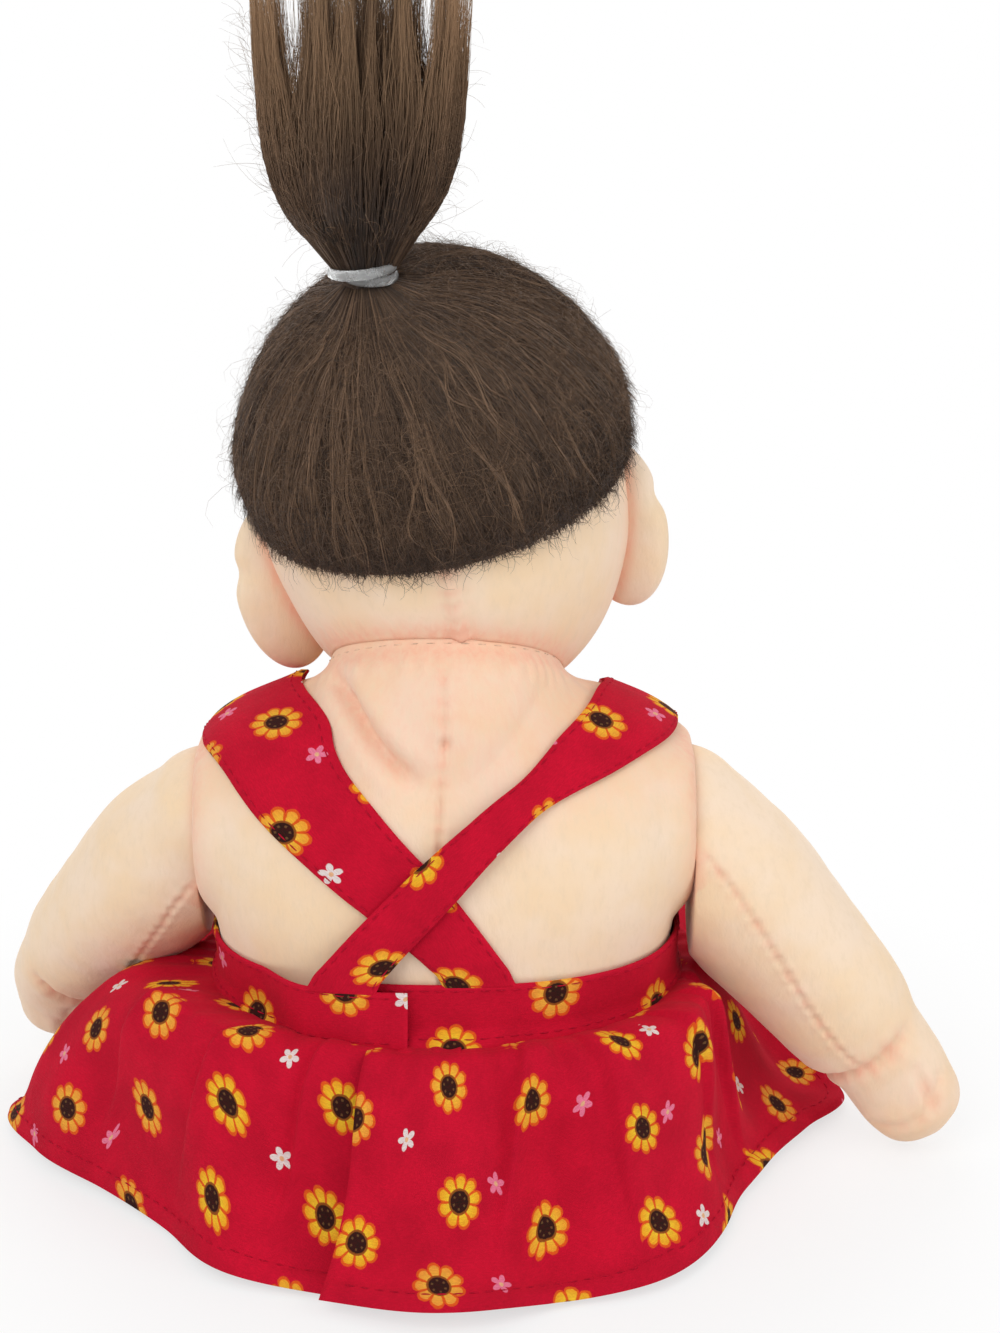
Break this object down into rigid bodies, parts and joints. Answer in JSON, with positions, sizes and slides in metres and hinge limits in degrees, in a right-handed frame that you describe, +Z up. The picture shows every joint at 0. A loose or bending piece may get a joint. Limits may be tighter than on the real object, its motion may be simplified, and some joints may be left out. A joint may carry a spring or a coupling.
{
  "type": "plush doll",
  "caption": "Seated stuffed plush doll in a floral sundress with crossed back straps, a gathered skirt and a tied top ponytail; head, arms and legs turn at sewn joints.",
  "frame": {"origin": "middle of the flat seat, on the surface the doll sits on", "axes": "+Z up, the doll faces -Y, its left hand is at +X"},
  "size_m": [0.1809, 0.1586, 0.216],
  "materials": {
    "skin_plush": "short-pile plush",
    "fibre_fill": "loose polyester fibre",
    "pellet_bag": "thin bag of plastic pellets",
    "hair_fabric": "long-pile hair fabric",
    "clear_elastic": "translucent elastic",
    "eye_plastic": "glossy",
    "washer_plastic": "moulded",
    "mouth_thread": "embroidery thread",
    "floral_cotton": "printed plain-weave cotton",
    "closure_tape": "hook-and-loop tape"
  },
  "bodies": {
    "torso": {"torso_cover": "skin_plush", "torso_stuffing": "fibre_fill", "seat_pellet_bag": "pellet_bag", "waistband": "floral_cotton", "left_strap": "floral_cotton", "right_strap": "floral_cotton", "bodice_front": "floral_cotton", "skirt": "floral_cotton", "hook_strip": "closure_tape", "loop_strip": "closure_tape"},
    "head": {"head_cover": "skin_plush", "head_stuffing": "fibre_fill", "hair_cap": "hair_fabric", "ponytail": "hair_fabric", "hair_elastic": "clear_elastic", "left_ear": "skin_plush", "right_ear": "skin_plush", "left_eye": "eye_plastic", "right_eye": "eye_plastic", "left_eye_washer": "washer_plastic", "right_eye_washer": "washer_plastic", "nose": "skin_plush", "mouth_stitch": "mouth_thread"},
    "left_arm": {"left_arm_cover": "skin_plush", "left_arm_stuffing": "fibre_fill"},
    "left_leg": {"left_leg_cover": "skin_plush", "left_leg_stuffing": "fibre_fill"},
    "right_arm": {"right_arm_cover": "skin_plush", "right_arm_stuffing": "fibre_fill"},
    "right_leg": {"right_leg_cover": "skin_plush", "right_leg_stuffing": "fibre_fill"}
  },
  "joints": [
    {"name": "head_turn", "type": "hinge", "parent": "torso", "child": "head", "pos_m": [0, 0.002, 0.083], "axis": [0, -0.4695, 0.8829], "range_deg": [-35, 35]},
    {"name": "left_shoulder", "type": "hinge", "parent": "torso", "child": "left_arm", "pos_m": [0.041, 0.002, 0.0639], "axis": [-1, 0, 0], "range_deg": [0, 75]},
    {"name": "right_shoulder", "type": "hinge", "parent": "torso", "child": "right_arm", "pos_m": [-0.041, 0.002, 0.0639], "axis": [-1, 0, 0], "range_deg": [-25, 90]},
    {"name": "left_hip", "type": "hinge", "parent": "torso", "child": "left_leg", "pos_m": [0.02, -0.024, 0.0145], "axis": [-1, 0, 0], "range_deg": [-60, 0]},
    {"name": "right_hip", "type": "hinge", "parent": "torso", "child": "right_leg", "pos_m": [-0.02, -0.024, 0.0145], "axis": [-1, 0, 0], "range_deg": [-60, 0]}
  ]
}
